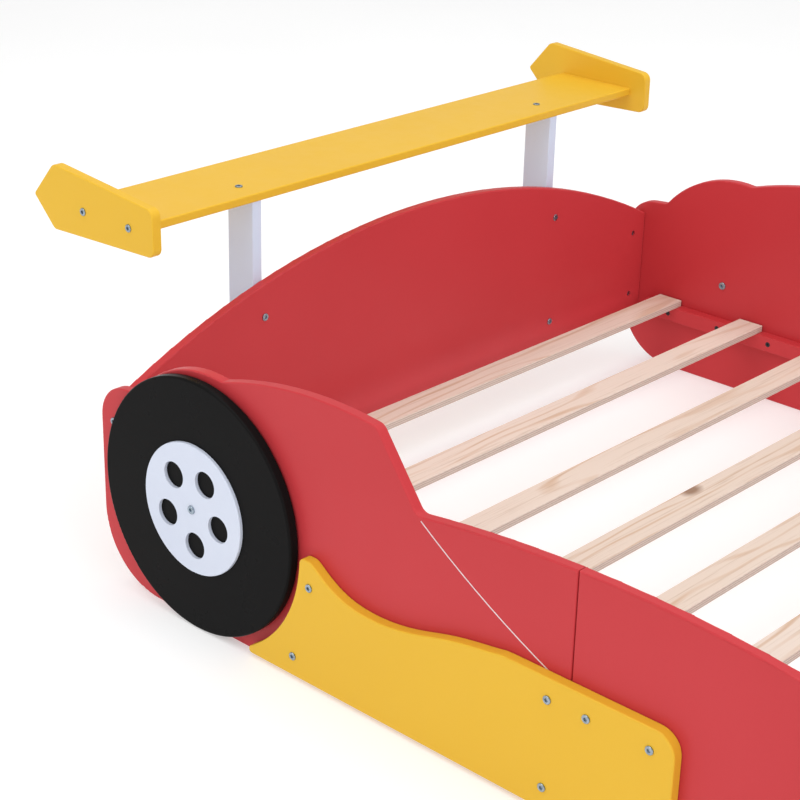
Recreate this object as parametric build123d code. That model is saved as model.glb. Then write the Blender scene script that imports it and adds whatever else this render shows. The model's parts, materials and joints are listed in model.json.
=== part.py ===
from build123d import *
import os
from math import cos, radians, sin

# A red race-car bed for a single mattress: flat painted boards bolted together, plywood slats on
# ledger cleats, a yellow spoiler on two white posts and four wheels that turn on their bolts.
# Millimetres.  x runs forward from the spoiler to the nose, y to the car's left, z up from the floor.
# Along the bed, u is the distance forward of the rear panel's inner face.

# ---- mattress space and boards ----
inner_width = 990.0
inner_length = 1915.0
board = 12.7
edge_round = 1.8
clear = 0.2

# ---- side panels ----
side_back = -28.0
side_front = 1945.0
rear_corner_top = 43.0
corner_bottom = 90.0
shoulder_z = 243.0
arch_start = (36.0, 249.0)
arch_mid = (95.0, 295.0)
arch_end = (177.0, 306.0)
fender_mid = (285.0, 328.5)
fender_drop = (401.0, 327.0)
sill_rear = (457.0, 250.0)
sill_mid = (675.0, 267.0)
sill_front = (905.0, 252.0)
cowl_rise = (960.0, 301.0)
cowl_mid = (1210.0, 318.0)
nose_z = 201.0
front_corner_top = 46.0
seam_u = 655.0
seam_gap = 1.0
line_width = 2.0
line_depth = 1.0

# ---- rear and front panels ----
panel_bottom = 62.0
rear_crown = 346.0
rear_shoulder = 227.5
front_crown = 262.0
front_shoulder = 188.0
rear_bolt_z = (201.7, 107.0)
front_bolt_z = (150.0, 96.0)
nut_inset = 27.0
nut_floor = 1.8
nut_sink = 1.9

# ---- wheels ----
axle_z = 150.5
rear_axle_u = 144.5
front_axle_u = 1600.0
tyre_radius = 150.0
tyre_round = 2.6
hub_radius = 77.2
hub_thick = 4.0
hub_hole_radius = 15.5
hub_hole_pitch = 43.1
hub_holes = 5
rear_hub_turn = -5.4
front_hub_turn = 21.0
axle_radius = 4.0
axle_play = 0.06
washer_thick = 1.0
end_play = 0.15
axle_head_radius = 5.0
axle_head_thick = 1.6
flange_radius = 5.5
flange_thick = 1.6

# ---- rocker plates ----
rocker_bottom = 5.0
rocker_gap_radius = 161.5
rocker_top = 151.5
rocker_end_u = 783.0
rocker_corner = 24.0
rocker_bolts_at = ((297.0, 29.0), (321.0, 121.0), (638.0, 128.0), (684.0, 128.0),
                   (756.0, 128.0), (638.0, 30.0), (684.0, 30.0), (756.0, 30.0))

# ---- slats and cleats ----
slat_width = 39.0
slat_thick = 9.4
slat_top = 110.4
slat_rear_edges = [39.0, 180.0, 318.0, 452.0, 577.0, 704.0]
slat_pitch = 133.0
slat_count = 14
cleat_thick = 15.0
cleat_height = 22.0
cleat_start = 20.0
cleat_end = 1895.0
cleat_joint = 1064.0
cleat_screw_start = 64.0
cleat_screw_pitch = 87.0

# ---- spoiler ----
post_y = 278.0
post_thick = 14.4
post_depth = 43.0
post_bottom = 88.0
post_bolt_z = (268.5, 113.3)
wing_top = 421.0
wing_thick = 10.5
wing_back = -134.0
wing_front = -10.7
wing_half = 448.0
wing_screw_u = -44.0
wing_screw_radius = 2.5
plate_tip = (-196.5, 417.5)
plate_bolt_u = (-106.0, -26.0)

# ---- fasteners ----
bolt_radius = 3.0
head_radius = 4.6
head_thick = 1.4
socket_width = 4.0
nut_radius = 4.0
screw_radius = 2.0

side_y = inner_width / 2
outer_y = side_y + board
cleat_top = slat_top - slat_thick
wing_under = wing_top - wing_thick


def save(name, solids):
    """Write one named node, moved so that the bed stands centred over the origin."""
    shape = solids if isinstance(solids, list) else [solids]
    placed = [Pos(x_shift, 0, 0) * s for s in shape]
    out = placed[0] if len(placed) == 1 else Compound(children=placed)
    out.label = name
    export_step(out, f"parts/{name}.step")


def eased(solid, axis, radius=edge_round):
    """Round the two long rims of a flat board whose thickness runs along axis."""
    faces = solid.faces().sort_by(axis)
    return fillet(faces[0].outer_wire().edges() + faces[-1].outer_wire().edges(), radius)


def along_y(face, start, thick):
    """Stand an outline drawn as (u, z) upright and give it thickness from y = start."""
    upright = Plane((0, start, 0), x_dir=(1, 0, 0), z_dir=(0, -1, 0)) * face
    return extrude(upright, thick, dir=(0, 1, 0))


def rod_x(u, y, z, radius, length):
    """Round bar from u forward."""
    return Plane((u, y, z), x_dir=(0, 1, 0), z_dir=(1, 0, 0)) * extrude(Circle(radius), length)


def rod_y(u, y, z, radius, length):
    """Round bar from y towards the car's left."""
    return Plane((u, y, z), x_dir=(1, 0, 0), z_dir=(0, 1, 0)) * extrude(Circle(radius), length)


def rod_z(u, y, z, radius, length):
    """Round bar from z upwards."""
    return Pos(u, y, z) * extrude(Circle(radius), length)


def mirrored(solid):
    """The same piece for the other side of the car."""
    return mirror(solid, Plane.XZ)


def bolt(length, radius=bolt_radius, head=head_radius, thick=head_thick):
    """Flat-headed socket bolt: head on z = 0 upwards, shank downwards."""
    cap = chamfer(extrude(Circle(head), thick).edges().group_by(Axis.Z)[-1], 0.4)
    shank = Pos(0, 0, -length) * extrude(Circle(radius), length)
    socket = Pos(0, 0, thick - 1.4) * extrude(RegularPolygon(socket_width / 2, 6, False), 3)
    return cap + shank - socket


def wood_screw(length, radius=screw_radius, head=3.8):
    """Countersunk screw: flat of the head on z = 0, point downwards."""
    sink = Pos(0, 0, -head + radius) * Cone(radius, head, head - radius, align=(Align.CENTER,) * 2 + (Align.MIN,))
    shank = Pos(0, 0, -length + 2) * extrude(Circle(radius), length - 2)
    point = Pos(0, 0, -length) * Cone(0.4, radius, 2, align=(Align.CENTER,) * 2 + (Align.MIN,))
    cross = Pos(0, 0, -1.2) * (Box(3.6, 0.8, 2.4) + Box(0.8, 3.6, 2.4))
    return sink + shank + point - cross


def facing_x(solid, u, y, z, sign):
    """Turn a fastener so its head points along +x or -x and put it at (u, y, z)."""
    return Plane((u, y, z), x_dir=(0, 1, 0), z_dir=(sign, 0, 0)) * solid


def facing_y(solid, u, y, z, sign):
    """Turn a fastener so its head points along +y or -y and put it at (u, y, z)."""
    return Plane((u, y, z), x_dir=(1, 0, 0), z_dir=(0, sign, 0)) * solid


# ---------------------------------------------------------------- side panels

def side_outline():
    """Car silhouette, drawn as (u, z)."""
    nose_end = (side_front, nose_z)
    front_bump = (front_axle_u - 33.0, 305.0)
    front_bump_end = (front_axle_u + 118.0, 246.0)
    lines = [
        Line((side_back, 0), (side_back, shoulder_z)),
        Line((side_back, shoulder_z), arch_start),
        ThreePointArc(arch_start, arch_mid, arch_end),
        ThreePointArc(arch_end, fender_mid, fender_drop),
        Line(fender_drop, sill_rear),
        ThreePointArc(sill_rear, sill_mid, sill_front),
        Line(sill_front, cowl_rise),
        ThreePointArc(cowl_rise, cowl_mid, front_bump),
        ThreePointArc(front_bump, (front_axle_u + 55.0, 294.0), front_bump_end),
        ThreePointArc(front_bump_end, (1850.0, 229.0), nose_end),
        Line(nose_end, (side_front, 0)),
        Line((side_front, 0), (side_back, 0)),
    ]
    face = make_face(Curve() + lines)

    def corner(u, z):
        return face.vertices().sort_by_distance((u, z, 0))[0]

    for u, z, radius in (
        (side_back, 0, corner_bottom),
        (side_front, 0, corner_bottom),
        (side_back, shoulder_z, rear_corner_top),
        (fender_drop[0], fender_drop[1], 14.0),
        (sill_rear[0], sill_rear[1], 12.0),
        (sill_front[0], sill_front[1], 30.0),
        (cowl_rise[0], cowl_rise[1], 24.0),
        (side_front, nose_z, front_corner_top),
        (arch_start[0], arch_start[1], 12.0),
        (arch_end[0], arch_end[1], 6.0),
        (front_bump[0], front_bump[1], 8.0),
        (front_bump_end[0], front_bump_end[1], 14.0),
    ):
        face = fillet(corner(u, z), radius)
    return face


def styling_line():
    """Shallow groove that carries the fender's curve down to the rocker plate."""
    points = [Vector(462.0, 246.5), Vector(541.0, 195.0), Vector(632.0, 148.0)]
    centre = ThreePointArc(*points).arc_center
    step = line_width / 2
    near = [p + (centre - p).normalized() * step for p in points]
    far = [p - (centre - p).normalized() * step for p in points]
    lines = [ThreePointArc(*near), Line(near[2], far[2]), ThreePointArc(*far), Line(far[0], near[0])]
    return along_y(make_face(Curve() + lines), -outer_y - 1, 1 + line_depth)


def side_panels():
    """Rear and front halves of the car's right side, with every hole they carry."""
    whole = along_y(side_outline(), -outer_y, board)
    ahead = Pos(seam_u - seam_gap / 2 + 1000, -outer_y, 200) * Box(2000, 60, 800)
    behind = Pos(seam_u + seam_gap / 2 - 1000, -outer_y, 200) * Box(2000, 60, 800)
    rear = whole - ahead
    front = whole - behind
    rear = eased(rear, Axis.Y) - styling_line()
    front = eased(front, Axis.Y)
    for u, z in rocker_bolts_at:
        hole = rod_y(u, -outer_y - 1, z, 4.85, 12.5)
        rear = rear - hole if u < seam_u else rear
        front = front - hole if u > seam_u else front
    for z in rear_bolt_z:
        rear -= rod_y(-board / 2, -outer_y - 5, z, bolt_radius + clear, board + 10)
    for z in front_bolt_z:
        front -= rod_y(inner_length + board / 2, -outer_y - 5, z, bolt_radius + clear, board + 10)
    rear -= rod_y(rear_axle_u, -outer_y - 5, axle_z, 5.1, board + 10)
    front -= rod_y(front_axle_u, -outer_y - 5, axle_z, 5.1, board + 10)
    for u in cleat_screw_places():
        hole = rod_y(u, -side_y - 10.5, cleat_top - cleat_height / 2, screw_radius + 0.05, 15)
        rear = rear - hole if u < seam_u else rear
        front = front - hole if u > seam_u else front
    return rear, front


# ---------------------------------------------------------------- cross panels

def cross_panel(u, crown, shoulder, bolt_z):
    """Arched board across the bed, cross-drilled near its ends for the barrel nuts."""
    y = side_y - clear / 2
    lines = [
        Line((-y, panel_bottom), (-y, shoulder)),
        ThreePointArc((-y, shoulder), (0, crown), (y, shoulder)),
        Line((y, shoulder), (y, panel_bottom)),
        Line((y, panel_bottom), (-y, panel_bottom)),
    ]
    face = Plane((u, 0, 0), x_dir=(0, 1, 0), z_dir=(1, 0, 0)) * make_face(Curve() + lines)
    panel = eased(extrude(face, board, dir=(1, 0, 0)), Axis.X)
    drill_from = nut_floor - board if u < 0 else inner_length - 1
    for z in bolt_z:
        for sign in (-1, 1):
            panel -= rod_y(u + board / 2, sign * (side_y - 22) - 25, z, bolt_radius + clear, 50)
            panel -= rod_x(drill_from, sign * (side_y - nut_inset), z, nut_radius + 0.1, board - nut_floor + 1)
    return panel


def rear_panel():
    panel = cross_panel(-board, rear_crown, rear_shoulder, rear_bolt_z)
    for z in post_bolt_z:
        for sign in (-1, 1):
            panel -= rod_x(-board - 5, sign * post_y, z, bolt_radius + clear, board + 10)
    return panel


def front_panel():
    return cross_panel(inner_length, front_crown, front_shoulder, front_bolt_z)


def corner_bolts():
    """Bolts through the side panels into the ends of the rear and front panels."""
    out = []
    for u, heights in ((-board / 2, rear_bolt_z), (inner_length + board / 2, front_bolt_z)):
        for z in heights:
            for sign in (-1, 1):
                out.append(facing_y(bolt(46), u, sign * outer_y, z, sign))
    return out


def barrel_nut(length):
    """Cylinder lying along z with a threaded cross hole, its slotted end on top."""
    body = Pos(0, 0, -length) * extrude(Circle(nut_radius), length)
    tapped = Plane((0, -10, -length / 2), z_dir=(0, 1, 0)) * extrude(Circle(bolt_radius + 0.05), 20)
    return body - tapped - Box(6, 1, 1)


def corner_nuts():
    """Barrel nuts let into the inner faces of the rear and front panels."""
    nut = Rot(0, 0, 90) * barrel_nut(board - 2 * nut_sink)
    out = []
    for face, sign_x, heights in ((0.0, 1, rear_bolt_z), (inner_length, -1, front_bolt_z)):
        for z in heights:
            for sign in (-1, 1):
                out.append(facing_x(nut, face - sign_x * nut_sink, sign * (side_y - nut_inset), z, sign_x))
    return out


# ---------------------------------------------------------------- wheels

def tyre(u):
    """Flat black disc with a rounded tread, free on its bolt."""
    y = -outer_y - washer_thick - end_play - board
    disc = rod_y(u, y, axle_z, tyre_radius, board)
    disc = fillet(disc.edges().filter_by(GeomType.CIRCLE), tyre_round)
    return disc - rod_y(u, y - 1, axle_z, axle_radius + axle_play, board + 2)


def hub(u, turn):
    """Thin white disc on the tyre's face with five round holes."""
    y = -outer_y - washer_thick - end_play - board - hub_thick
    disc = rod_y(u, y, axle_z, hub_radius, hub_thick)
    disc = fillet(disc.edges().sort_by(Axis.Y)[0], 1.2)
    disc -= rod_y(u, y - 1, axle_z, axle_radius + axle_play, hub_thick + 2)
    for k in range(hub_holes):
        a = radians(turn - 36 + 72 * k)
        du = hub_hole_pitch * sin(a)
        dz = hub_hole_pitch * cos(a)
        disc -= rod_y(u + du, y - 1, axle_z + dz, hub_hole_radius, hub_thick + 2)
    return disc


def wheel_bolt(u):
    """Shouldered bolt that the wheel turns on, its head outside."""
    face = outer_y + washer_thick + end_play + board + hub_thick + end_play
    reach = face - side_y - 2.5
    return facing_y(bolt(reach, axle_radius, axle_head_radius, axle_head_thick), u, -face, axle_z, -1)


def wheel_nut(u):
    """Sleeve nut let into the side panel, with its flange on the inner face."""
    sleeve = rod_y(u, -outer_y + 0.5, axle_z, 5.0, board - 0.5)
    flange = rod_y(u, -side_y, axle_z, flange_radius, flange_thick)
    flange = chamfer(flange.edges().sort_by(Axis.Y)[-1], 0.4)
    bore = rod_y(u, -outer_y, axle_z, axle_radius + 0.04, board - 1.5)
    socket = Plane((u, -side_y + flange_thick + 0.1, axle_z), x_dir=(1, 0, 0), z_dir=(0, -1, 0))
    return sleeve + flange - bore - socket * extrude(RegularPolygon(socket_width / 2, 6, False), 2.0)


def wheel_washer(u):
    """Thin spacer between the side panel and the turning tyre."""
    ring = rod_y(u, -outer_y - washer_thick, axle_z, 14.0, washer_thick)
    return ring - rod_y(u, -outer_y - 5, axle_z, axle_radius + 0.15, 10)


# ---------------------------------------------------------------- rocker plates

def rocker_plate():
    """Yellow plate over the seam, hollowed behind the rear wheel."""
    low_u = rear_axle_u + (rocker_gap_radius ** 2 - (axle_z - rocker_bottom) ** 2) ** 0.5
    high_u = rear_axle_u + rocker_gap_radius
    halfway = radians(-32)
    arc_u = rear_axle_u + rocker_gap_radius * cos(halfway)
    arc_z = axle_z + rocker_gap_radius * sin(halfway)
    wave = Spline((322.0, rocker_top), (345.0, 136.0), (373.0, 124.0), (402.0, 120.0), (436.0, 121.5),
                  (470.0, 128.0), (515.0, 140.0), (570.0, 149.5), (640.0, rocker_top),
                  tangents=((1.0, -0.6), (1, 0)))
    lines = [
        Line((low_u, rocker_bottom), (rocker_end_u, rocker_bottom)),
        Line((rocker_end_u, rocker_bottom), (rocker_end_u, rocker_top)),
        Line((rocker_end_u, rocker_top), (640.0, rocker_top)),
        wave,
        Line((322.0, rocker_top), (high_u, rocker_top)),
        Line((high_u, rocker_top), (high_u, axle_z)),
        ThreePointArc((high_u, axle_z), (arc_u, arc_z), (low_u, rocker_bottom)),
    ]
    face = make_face(Curve() + lines)
    for u, z, radius in ((rocker_end_u, rocker_top, rocker_corner), (rocker_end_u, rocker_bottom, rocker_corner),
                         (low_u, rocker_bottom, 4.6), (322.0, rocker_top, 12.0)):
        face = fillet(face.vertices().sort_by_distance((u, z, 0))[0], radius)
    plate = along_y(face, -outer_y - board, board)
    plate = fillet(plate.edges().filter_by(Axis.Y).sort_by_distance((high_u, -outer_y, rocker_top))[0], 7.0)
    plate = eased(plate, Axis.Y)
    for u, z in rocker_bolts_at:
        plate -= rod_y(u, -outer_y - board - 5, z, bolt_radius + clear, board + 10)
    return plate


def rocker_bolts():
    one_side = [facing_y(bolt(22.5), u, -outer_y - board, z, -1) for u, z in rocker_bolts_at]
    return one_side + [mirrored(b) for b in one_side]


def rocker_inserts():
    """Threaded inserts sunk into the outer face of the side panels."""
    out = []
    for u, z in rocker_bolts_at:
        insert = rod_y(u, -outer_y, z, 4.8, 11.0) - rod_y(u, -outer_y - 1, z, bolt_radius + 0.05, 13)
        out += [insert, mirrored(insert)]
    return out


# ---------------------------------------------------------------- slats and cleats

def slat_edges():
    """Rear edge of every slat."""
    edges = list(slat_rear_edges)
    while len(edges) < slat_count:
        edges.append(edges[-1] + slat_pitch)
    return edges


def cleat_screw_places():
    count = int((cleat_end - 10 - cleat_screw_start) // cleat_screw_pitch) + 1
    return [cleat_screw_start + cleat_screw_pitch * k for k in range(count)]


def slat_screw_places():
    """One screw near each end of a slat, kept clear of the cleat's own screws."""
    out = []
    for edge in slat_edges():
        centre = edge + slat_width / 2
        nearest = min(cleat_screw_places(), key=lambda u: abs(u - centre))
        out.append(centre + 11 if nearest < centre else centre - 11)
    return out


def slat(edge):
    """Plywood slat with eased long edges, drilled from below."""
    length = inner_width - 5
    bar = Pos(edge + slat_width / 2, 0, slat_top - slat_thick / 2) * Box(slat_width, length, slat_thick)
    bar = fillet(bar.edges().filter_by(Axis.Y), 0.9)
    for u in slat_screw_places():
        if edge < u < edge + slat_width:
            for sign in (-1, 1):
                hole = rod_z(u, sign * (side_y - cleat_thick / 2), cleat_top - 1, 1.55, 8)
                bar -= hole
    return bar


def cleat(start, end):
    """Ledger along the inside of the right-hand side panel, carrying the slat ends."""
    z = cleat_top - cleat_height / 2
    bar = Pos((start + end) / 2, -side_y + cleat_thick / 2, z) * Box(end - start, cleat_thick, cleat_height)
    bar = fillet(bar.edges().filter_by(Axis.X).sort_by(Axis.Y)[-2:], 1.0)
    for u in cleat_screw_places():
        if start < u < end:
            sink = facing_y(Cone(1.8, 4.2, 2.4), u, -side_y + cleat_thick - 1.1, z, 1)
            bar = bar - rod_y(u, -side_y - 1, z, screw_radius + 0.15, cleat_thick + 2) - sink
    for u in slat_screw_places():
        if start < u < end:
            y = -side_y + cleat_thick / 2
            sink = Pos(u, y, cleat_top - cleat_height + 1.0) * Cone(3.7, 1.5, 2.2)
            bar = bar - rod_z(u, y, cleat_top - cleat_height - 1, 1.65, cleat_height + 2) - sink
    return bar


def cleat_screws():
    z = cleat_top - cleat_height / 2
    out = []
    for u in cleat_screw_places():
        screw = facing_y(wood_screw(24.0), u, -side_y + cleat_thick - 0.3, z, 1)
        out += [screw, mirrored(screw)]
    return out


def slat_screws():
    z = cleat_top - cleat_height + 0.3
    out = []
    for u in slat_screw_places():
        screw = Plane((u, -side_y + cleat_thick / 2, z), z_dir=(0, 0, -1)) * wood_screw(27.5, 1.5, 3.2)
        out += [screw, mirrored(screw)]
    return out


# ---------------------------------------------------------------- spoiler

def post():
    """White upright on edge behind the rear panel, cross-drilled for two barrel nuts."""
    height = wing_under - post_bottom
    u = -board - post_depth / 2
    bar = Pos(u, -post_y, post_bottom + height / 2) * Box(post_depth, post_thick, height)
    bar = fillet(bar.edges().filter_by(Axis.Z), 1.2)
    for z in post_bolt_z:
        bar -= rod_x(-board - 32, -post_y, z, bolt_radius + clear, 40)
        bar -= rod_y(-board - 24, -post_y - 5.5, z, nut_radius + 0.1, 20)
    bar -= rod_z(wing_screw_u, -post_y, wing_under - 50, wing_screw_radius, 60)
    return bar


def post_bolts():
    one_side = [facing_x(bolt(42), 0, -post_y, z, 1) for z in post_bolt_z]
    return one_side + [mirrored(b) for b in one_side]


def post_nuts():
    """Barrel nuts in the posts, for the bolts through the rear panel."""
    nut = Rot(0, 0, 90) * barrel_nut(10.4)
    out = [facing_y(nut, -board - 24, -post_y + 5.2, z, 1) for z in post_bolt_z]
    return out + [mirrored(n) for n in out]


def wing():
    depth = wing_front - wing_back
    centre = (wing_front + wing_back) / 2
    slab = Pos(centre, 0, wing_top - wing_thick / 2) * Box(depth, 2 * wing_half, wing_thick)
    slab = fillet(slab.edges().filter_by(Axis.Y), 2.0)
    for sign in (-1, 1):
        slab -= rod_z(wing_screw_u, sign * post_y, wing_under - 1, wing_screw_radius + clear, wing_thick + 2)
        for u in plate_bolt_u:
            start = -wing_half - 1 if sign < 0 else wing_half - 31
            slab -= rod_y(u, start, wing_top - wing_thick / 2, screw_radius + 0.1, 32)
    return slab


def wing_screws():
    """Long screws down into the end grain of the posts."""
    screw = bolt(58, wing_screw_radius)
    return [Pos(wing_screw_u, s * post_y, wing_top) * screw for s in (-1, 1)]


def end_plate():
    """Arrow-shaped plate that closes the wing's end."""
    top_rear = (-159.0, 461.0)
    top_front = (15.0, 445.0)
    low_front = (15.5, 389.5)
    low_rear = (-161.0, 382.0)
    face = make_face(Polyline(plate_tip, top_rear, top_front, low_front, low_rear, close=True))
    for (u, z), radius in ((plate_tip, 4.0), (top_rear, 12.0), (top_front, 11.0), (low_front, 10.0),
                           (low_rear, 8.0)):
        face = fillet(face.vertices().sort_by_distance((u, z, 0))[0], radius)
    plate = eased(along_y(face, -wing_half - board, board), Axis.Y, 1.5)
    for u in plate_bolt_u:
        plate -= rod_y(u, -wing_half - board - 5, wing_top - wing_thick / 2, screw_radius + clear, 40)
    return plate


def end_plate_screws():
    z = wing_top - wing_thick / 2
    out = []
    for u in plate_bolt_u:
        screw = facing_y(bolt(board + 28, screw_radius, head_radius, head_thick), u, -wing_half - board, z, -1)
        out += [screw, mirrored(screw)]
    return out


# ---------------------------------------------------------------- write the nodes

os.makedirs("parts", exist_ok=True)

right_plate = end_plate()
x_shift = -(right_plate.bounding_box().min.X + side_front) / 2

save("rear_panel", rear_panel())
save("front_panel", front_panel())

rear_side, front_side = side_panels()
save("side_panel_rear_right", rear_side)
save("side_panel_rear_left", mirrored(rear_side))
save("side_panel_front_right", front_side)
save("side_panel_front_left", mirrored(front_side))

rocker = rocker_plate()
save("rocker_plate_right", rocker)
save("rocker_plate_left", mirrored(rocker))

rear_cleat = cleat(cleat_start, cleat_joint - 0.5)
front_cleat = cleat(cleat_joint + 0.5, cleat_end)
save("slat_cleat_rear_right", rear_cleat)
save("slat_cleat_rear_left", mirrored(rear_cleat))
save("slat_cleat_front_right", front_cleat)
save("slat_cleat_front_left", mirrored(front_cleat))

for number, edge in enumerate(slat_edges(), start=1):
    save(f"slat_{number:02d}", slat(edge))

for end, u, turn in (("rear", rear_axle_u, rear_hub_turn), ("front", front_axle_u, front_hub_turn)):
    save(f"tyre_{end}_right", tyre(u))
    save(f"tyre_{end}_left", mirrored(tyre(u)))
    save(f"wheel_hub_{end}_right", hub(u, turn))
    save(f"wheel_hub_{end}_left", mirrored(hub(u, turn)))

axles = (rear_axle_u, front_axle_u)
save("wheel_bolts", [f for u in axles for f in (wheel_bolt(u), mirrored(wheel_bolt(u)))])
save("wheel_sleeve_nuts", [f for u in axles for f in (wheel_nut(u), mirrored(wheel_nut(u)))])
save("wheel_washers", [f for u in axles for f in (wheel_washer(u), mirrored(wheel_washer(u)))])

right_post = post()
save("spoiler_post_right", right_post)
save("spoiler_post_left", mirrored(right_post))
save("spoiler_wing", wing())
save("spoiler_end_plate_right", right_plate)
save("spoiler_end_plate_left", mirrored(right_plate))

save("corner_bolts", corner_bolts())
save("corner_barrel_nuts", corner_nuts())
save("spoiler_post_bolts", post_bolts())
save("spoiler_barrel_nuts", post_nuts())
save("spoiler_wing_screws", wing_screws())
save("spoiler_end_plate_screws", end_plate_screws())
save("rocker_bolts", rocker_bolts())
save("rocker_threaded_inserts", rocker_inserts())
save("slat_cleat_screws", cleat_screws())
save("slat_screws", slat_screws())
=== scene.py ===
import json
import math

import bmesh
import bpy
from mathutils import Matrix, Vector


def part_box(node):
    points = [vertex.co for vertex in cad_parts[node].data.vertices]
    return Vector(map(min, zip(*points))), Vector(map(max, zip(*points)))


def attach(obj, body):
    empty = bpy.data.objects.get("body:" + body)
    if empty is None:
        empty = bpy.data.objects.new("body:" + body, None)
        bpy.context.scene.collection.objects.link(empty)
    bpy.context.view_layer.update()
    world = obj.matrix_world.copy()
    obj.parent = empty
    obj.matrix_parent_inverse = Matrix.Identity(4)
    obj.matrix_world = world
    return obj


# The red race-car bed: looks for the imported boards, slats, wheels and fasteners. Metres.

# ---- camera ----
camera_place = (0.6863, -1.7495, 1.0988)
camera_turn = (66.4, -1.314, 42.884)
camera_lens = 86.114
camera_sensor = 36.0

# ---- paint and wood colours, linear ----
red = (0.575, 0.046, 0.055)
red_deep = (0.51, 0.036, 0.043)
yellow = (0.79, 0.475, 0.036)
yellow_deep = (0.75, 0.435, 0.030)
white = (0.66, 0.76, 0.92)
white_deep = (0.62, 0.71, 0.87)
hub_white = (0.66, 0.71, 0.83)
hub_deep = (0.61, 0.66, 0.79)
black = (0.0072, 0.0070, 0.0072)
black_soft = (0.0105, 0.0100, 0.0100)
stripe_white = (0.86, 0.79, 0.81)
stripe_pink = (0.72, 0.52, 0.54)
veneer_light = (0.76, 0.648, 0.560)
veneer_dark = (0.60, 0.405, 0.270)
veneer_pore = (0.44, 0.30, 0.20)
ply_light = (0.66, 0.565, 0.49)
ply_dark = (0.36, 0.27, 0.22)
knot_brown = (0.25, 0.13, 0.07)
zinc = (0.36, 0.43, 0.50)
zinc_dull = (0.20, 0.25, 0.30)
nylon = (0.76, 0.75, 0.71)
phosphate = (0.050, 0.050, 0.055)
phosphate_dull = (0.030, 0.030, 0.033)
floor_light = (0.66, 0.66, 0.66)
floor_dark = (0.64, 0.64, 0.64)

# ---- how fine each pattern is, as texture scales on coordinates in metres ----
paint_drift = 2.6
paint_speck = 420.0
paint_gloss_patch = 26.0
paint_pebble = 1100.0
paint_roll = 95.0
wood_swirl = 26.0
wood_bands = 13.0
wood_pores = 420.0
wood_slat_tone = 6.5
wood_knots = 7.0
wood_ply_ripple = 60.0
wood_fibres = 900.0
metal_bloom = 240.0
metal_brush = 2600.0
mould_drift = 9.0
mould_gloss_patch = 60.0
mould_grain = 1500.0
floor_drift = 1.5

# ---- how deep each relief is ----
pebble_depth = 0.00012
roll_depth = 0.00035
pore_depth = 0.00025
ply_depth = 0.0002
brush_depth = 0.00006
mould_depth = 0.0001

# ---- plywood: one light and one dark ply together ----
ply_pair = 0.00269

# ---- surround, as radiance, and the height above which the sky stays at its dimmest ----
horizon_glow = 0.94
zenith_glow = 0.52
fade_top = 0.45

# ---- studio floor: half its side, its gap below the bed, and its own light ----
floor_reach = 14.0
floor_gap = 0.0004
floor_glow = 0.42

# ---- studio lights ----
overhead_power = 100.0
key_power = 39.0
key_colour = (1.0, 0.985, 0.965)
fill_power = 47.0
fill_colour = (0.96, 0.98, 1.0)

# ---- pinstripe ----
groove_depth = 0.001
stripe_thick = 0.0006
same_height = 0.00008
weld_distance = 1e-6


class Surface:
    """One procedural material: a Principled shader and helpers that add nodes to it."""

    def __init__(self, name, sockets):
        self.material = bpy.data.materials.new(name)
        self.material.use_nodes = True
        self.tree = self.material.node_tree
        self.shader = self.tree.nodes["Principled BSDF"]
        self.feed(self.shader, sockets)
        self.place = self.tree.nodes.new("ShaderNodeTexCoord").outputs["Object"]

    def feed(self, node, inputs):
        """Sets each input to a number or colour, or links it where the value is another node's output."""
        for socket, value in inputs.items():
            target = node.inputs[socket]
            if isinstance(value, bpy.types.NodeSocket):
                self.tree.links.new(value, target)
            elif hasattr(value, "__len__") and len(value) == 3 and target.type == "RGBA":
                target.default_value = (*value, 1.0)
            else:
                target.default_value = value

    def add(self, kind, inputs, **settings):
        node = self.tree.nodes.new("ShaderNode" + kind)
        for name, value in settings.items():
            setattr(node, name, value)
        self.feed(node, inputs)
        return node

    def noise(self, scale, detail=2.0, roughness=0.5, place=None, distortion=0.0):
        node = self.add("TexNoise", {"Vector": place or self.place, "Scale": scale, "Detail": detail,
                                     "Roughness": roughness, "Distortion": distortion})
        return node.outputs["Fac"]

    def stretched(self, scale):
        return self.add("Mapping", {"Vector": self.place, "Scale": scale}).outputs["Vector"]

    def ranged(self, value, low, high, to_low, to_high):
        node = self.add("MapRange", {"Value": value, "From Min": low, "From Max": high,
                                     "To Min": to_low, "To Max": to_high})
        return node.outputs["Result"]

    def maths(self, operation, first, second=0.0):
        return self.add("Math", {0: first, 1: second}, operation=operation).outputs[0]

    def mixed(self, share, first, second):
        node = self.add("MixRGB", {"Fac": share, "Color1": first, "Color2": second})
        return node.outputs["Color"]

    def bump(self, height, strength, distance, under=None):
        inputs = {"Height": height, "Strength": strength, "Distance": distance}
        if under is not None:
            inputs["Normal"] = under
        return self.add("Bump", inputs).outputs["Normal"]

    def finish(self, tone, gloss, normal):
        self.feed(self.shader, {"Base Color": tone, "Roughness": gloss, "Normal": normal})
        return self.material


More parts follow.
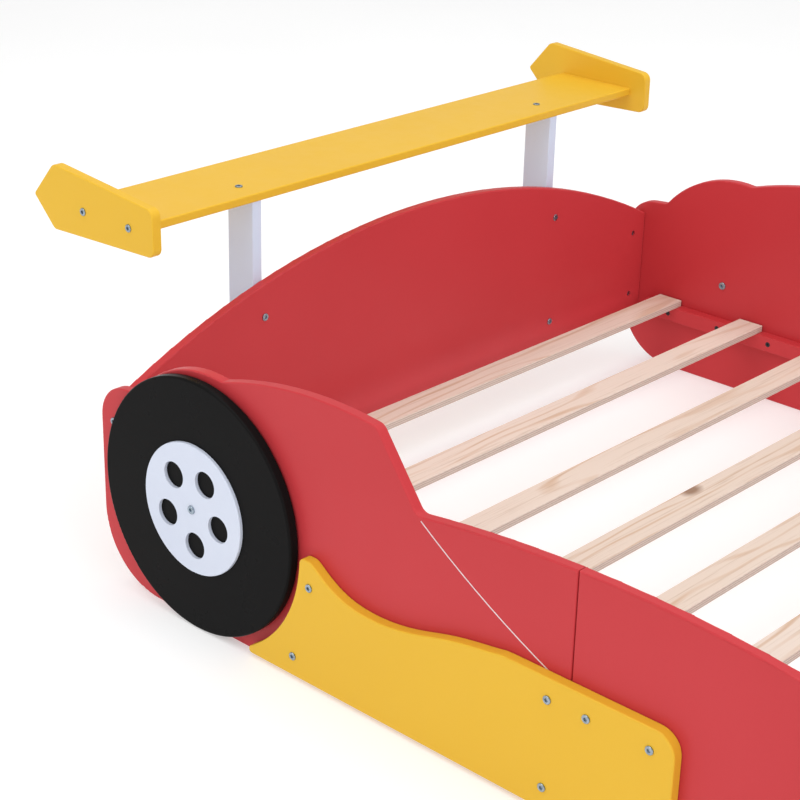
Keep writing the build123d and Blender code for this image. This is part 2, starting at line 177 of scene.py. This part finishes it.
def painted(name, colour, deep, roughness, specular=0.16, coat=0.0):
    """Sprayed satin paint on board: a rolled, faintly pebbled skin with slow changes of tone and gloss."""
    skin = Surface(name, {"Specular IOR Level": specular, "Coat Weight": coat, "Coat Roughness": 0.22})
    slow = skin.ranged(skin.noise(paint_drift), 0.35, 0.65, 0.0, 0.55)
    tone = skin.mixed(slow, colour, deep)
    speck = skin.ranged(skin.noise(paint_speck, 3.0, 0.6), 0.45, 0.75, 0.0, 0.12)
    tone = skin.mixed(speck, tone, deep)
    patch = skin.noise(paint_gloss_patch, 4.0, 0.6)
    gloss = skin.ranged(patch, 0.3, 0.7, roughness - 0.045, roughness + 0.045)
    pebble = skin.bump(skin.noise(paint_pebble), 0.35, pebble_depth)
    rolled = skin.bump(skin.noise(paint_roll), 0.25, roll_depth, pebble)
    return skin.finish(tone, gloss, rolled)


def plywood(name):
    """Sanded plywood slats: grain along the slat, small knots, and darker plies on the cut edges."""
    wood = Surface(name, {"Specular IOR Level": 0.25})

    # The broad faces: figure, pores, a slow change of tone and a few knots.
    along = wood.stretched((1.0, 0.13, 1.0))
    swirl = wood.noise(wood_swirl, 3.0, 0.55, along, 0.9)
    bands = wood.add("TexWave", {"Vector": along, "Scale": wood_bands, "Distortion": 18.0, "Detail": 2.0,
                                 "Detail Scale": 1.2, "Detail Roughness": 0.5},
                     wave_type="BANDS", bands_direction="X").outputs["Fac"]
    rings = wood.ranged(bands, 0.0, 0.26, 0.85, 0.0)
    figure = wood.maths("MULTIPLY", rings, wood.ranged(swirl, 0.36, 0.62, 0.15, 1.0))
    face = wood.mixed(figure, veneer_light, veneer_dark)
    streak = wood.noise(wood_pores, 4.0, 0.65, wood.stretched((1.0, 0.018, 1.0)))
    face = wood.mixed(wood.ranged(streak, 0.54, 0.72, 0.0, 0.5), face, veneer_pore)
    slat_tone = wood.noise(wood_slat_tone, 0.0, 0.5, wood.stretched((1.0, 0.1, 1.0)))
    face = wood.mixed(wood.ranged(slat_tone, 0.4, 0.62, 0.0, 0.16), face, veneer_dark)
    eye = wood.add("TexVoronoi", {"Vector": wood.stretched((1.0, 0.62, 1.0)), "Scale": wood_knots})
    knot = wood.maths("ADD", eye.outputs["Distance"], wood.ranged(swirl, 0.3, 0.7, -0.02, 0.02))
    face = wood.mixed(wood.ranged(knot, 0.045, 0.10, 0.85, 0.0), face, knot_brown)

    # The cut edges: light and dark plies, stacked in height and a little uneven.
    place = wood.add("SeparateXYZ", {"Vector": wood.place})
    ripple = wood.ranged(wood.noise(wood_ply_ripple), 0.3, 0.7, -0.35, 0.35)
    phase = wood.maths("MULTIPLY", place.outputs["Z"], math.tau / ply_pair)
    layers = wood.ranged(wood.maths("SINE", wood.maths("ADD", phase, ripple)), 0.1, 0.8, 0.0, 0.8)
    fibres = wood.noise(wood_fibres, 3.0, 0.7, wood.stretched((1.0, 0.25, 1.0)))
    edge = wood.mixed(layers, ply_light, ply_dark)
    edge = wood.mixed(wood.ranged(fibres, 0.4, 0.7, 0.0, 0.5), edge, ply_light)

    # Faces that look up or down get the veneer, the others get the edge.
    normal = wood.add("NewGeometry", {}).outputs["Normal"]
    up = wood.maths("ABSOLUTE", wood.add("SeparateXYZ", {"Vector": normal}).outputs["Z"])
    tone = wood.mixed(wood.ranged(up, 0.45, 0.75, 1.0, 0.0), face, edge)
    gloss = wood.ranged(streak, 0.4, 0.7, 0.52, 0.68)
    pores = wood.bump(streak, 0.55, pore_depth)
    sanded = wood.bump(layers, 0.12, ply_depth, pores)
    return wood.finish(tone, gloss, sanded)


def plated(name, bright, dull):
    """Plated or phosphated fastener: metal with a very fine grain and a dull bloom."""
    metal = Surface(name, {"Metallic": 1.0})
    bloom = metal.noise(metal_bloom, 4.0, 0.6)
    tone = metal.mixed(metal.ranged(bloom, 0.35, 0.7, 0.0, 0.8), bright, dull)
    gloss = metal.ranged(bloom, 0.3, 0.7, 0.20, 0.36)
    brushed = metal.bump(metal.noise(metal_brush, 2.0, 0.7), 0.25, brush_depth)
    return metal.finish(tone, gloss, brushed)


def moulded(name, colour, deep, roughness):
    """Injection-moulded or nylon part: nearly even colour and a very fine grain."""
    part = Surface(name, {"Specular IOR Level": 0.3})
    tone = part.mixed(part.ranged(part.noise(mould_drift, 3.0), 0.35, 0.65, 0.0, 0.6), colour, deep)
    patch = part.noise(mould_gloss_patch, 3.0)
    gloss = part.ranged(patch, 0.3, 0.7, roughness - 0.04, roughness + 0.04)
    grain = part.bump(part.noise(mould_grain), 0.22, mould_depth)
    return part.finish(tone, gloss, grain)


def dress(surfaces):
    """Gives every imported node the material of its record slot."""
    for row in frame["record"]["subparts"]:
        piece = frame["nodes"][row["node"]]
        piece.data.materials.clear()
        piece.data.materials.append(surfaces[row["material_slot"]])


def pinstripe(node, surface):
    """A painted strip in the groove of a rear side panel's outer face, raised from the groove's floor."""
    panel = frame["nodes"][node].data
    low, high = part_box(node)
    outward = 1.0 if high.y > 0 else -1.0
    outer = max(abs(low.y), abs(high.y))
    floor_y = outward * (outer - groove_depth)
    made = bmesh.new()
    made.from_mesh(panel)
    bmesh.ops.remove_doubles(made, verts=made.verts, dist=weld_distance)
    spare = [f for f in made.faces
             if any(abs(v.co.y - floor_y) > same_height for v in f.verts)]
    bmesh.ops.delete(made, geom=spare, context="FACES")
    grown = bmesh.ops.extrude_face_region(made, geom=made.faces[:])
    raised = [v for v in grown["geom"] if isinstance(v, bmesh.types.BMVert)]
    bmesh.ops.translate(made, verts=raised, vec=(0.0, outward * stripe_thick, 0.0))
    bmesh.ops.recalc_face_normals(made, faces=made.faces[:])
    mesh = bpy.data.meshes.new("pinstripe_" + node.split("_")[-1])
    made.to_mesh(mesh)
    made.free()
    mesh.materials.append(surface)
    line = bpy.data.objects.new(mesh.name, mesh)
    bpy.context.scene.collection.objects.link(line)
    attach(line, "bed")
    return line


def surround():
    """A bright sky that dims from the horizon upwards."""
    world = bpy.data.worlds.new("studio_surround")
    bpy.context.scene.world = world
    world.use_nodes = True
    nodes = world.node_tree.nodes
    links = world.node_tree.links
    sky = nodes["Background"]
    sky.inputs["Color"].default_value = (1.0, 1.0, 1.0, 1.0)
    height = nodes.new("ShaderNodeSeparateXYZ")
    fade = nodes.new("ShaderNodeMapRange")
    fade.inputs["From Max"].default_value = fade_top
    fade.inputs["To Min"].default_value = horizon_glow
    fade.inputs["To Max"].default_value = zenith_glow
    links.new(nodes.new("ShaderNodeTexCoord").outputs["Generated"], height.inputs["Vector"])
    links.new(height.outputs["Z"], fade.inputs["Value"])
    links.new(fade.outputs["Result"], sky.inputs["Strength"])


def pale_floor():
    """A large square floor just under the bed, with a little light of its own."""
    ground = Surface("pale_floor", {"Roughness": 0.8, "Emission Color": (1.0, 1.0, 1.0),
                                    "Emission Strength": floor_glow})
    drift = ground.ranged(ground.noise(floor_drift), 0.3, 0.7, 0.0, 1.0)
    ground.feed(ground.shader, {"Base Color": ground.mixed(drift, floor_light, floor_dark)})

    corners = [(x * floor_reach, y * floor_reach, 0.0) for x, y in ((-1, -1), (1, -1), (1, 1), (-1, 1))]
    mesh = bpy.data.meshes.new("floor")
    mesh.from_pydata(corners, [], [(0, 1, 2, 3)])
    mesh.materials.append(ground.material)
    floor = bpy.data.objects.new("floor", mesh)
    floor.location.z = -floor_gap
    bpy.context.scene.collection.objects.link(floor)


def soft_light(name, place, target, size, power, colour=(1.0, 1.0, 1.0)):
    lamp = bpy.data.lights.new(name, "AREA")
    lamp.shape = "RECTANGLE"
    lamp.size, lamp.size_y = size
    lamp.energy = power
    lamp.color = colour
    holder = bpy.data.objects.new(name, lamp)
    holder.location = place
    holder.rotation_euler = (Vector(target) - Vector(place)).to_track_quat("-Z", "Y").to_euler()
    bpy.context.scene.collection.objects.link(holder)


def studio():
    """The surround, the floor and three large soft lights."""
    surround()
    bpy.context.scene.view_settings.view_transform = "Standard"
    pale_floor()
    soft_light("overhead", (0.0, 0.0, 4.0), (0.0, 0.0, 0.0), (5.0, 5.0), overhead_power)
    soft_light("key", (-1.2, -3.2, 3.4), (-0.2, 0.0, 0.2), (3.0, 2.2), key_power, key_colour)
    soft_light("fill", (3.4, -0.8, 2.4), (-0.4, 0.0, 0.2), (2.6, 2.6), fill_power, fill_colour)


def camera():
    data = bpy.data.cameras.new("camera")
    data.lens = camera_lens
    data.sensor_width = camera_sensor
    holder = bpy.data.objects.new("camera", data)
    holder.location = camera_place
    holder.rotation_euler = [math.radians(turn) for turn in camera_turn]
    bpy.context.scene.collection.objects.link(holder)
    bpy.context.scene.camera = holder


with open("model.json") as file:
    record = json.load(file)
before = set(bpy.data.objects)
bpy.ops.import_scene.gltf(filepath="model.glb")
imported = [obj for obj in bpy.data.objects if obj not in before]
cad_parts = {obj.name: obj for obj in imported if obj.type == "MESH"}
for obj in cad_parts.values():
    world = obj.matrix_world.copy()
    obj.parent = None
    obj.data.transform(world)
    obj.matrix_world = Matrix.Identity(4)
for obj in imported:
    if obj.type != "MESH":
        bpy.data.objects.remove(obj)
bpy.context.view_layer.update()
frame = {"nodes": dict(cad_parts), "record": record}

camera()
studio()
dress({
    "red_board": painted("red_paint", red, red_deep, 0.42, coat=0.05),
    "yellow_board": painted("yellow_paint", yellow, yellow_deep, 0.42, coat=0.05),
    "white_board": painted("white_paint", white, white_deep, 0.44),
    "black_disc": painted("black_paint", black, black_soft, 0.30, specular=0.035),
    "white_hub": moulded("hub_white", hub_white, hub_deep, 0.34),
    "plywood": plywood("sanded_plywood"),
    "zinc_steel": plated("zinc_plate", zinc, zinc_dull),
    "black_steel": plated("black_phosphate", phosphate, phosphate_dull),
    "nylon": moulded("natural_nylon", nylon, nylon, 0.5),
})
stripe_paint = painted("pinstripe_paint", stripe_white, stripe_pink, 0.4)
for side_node in ("side_panel_rear_right", "side_panel_rear_left"):
    pinstripe(side_node, stripe_paint)
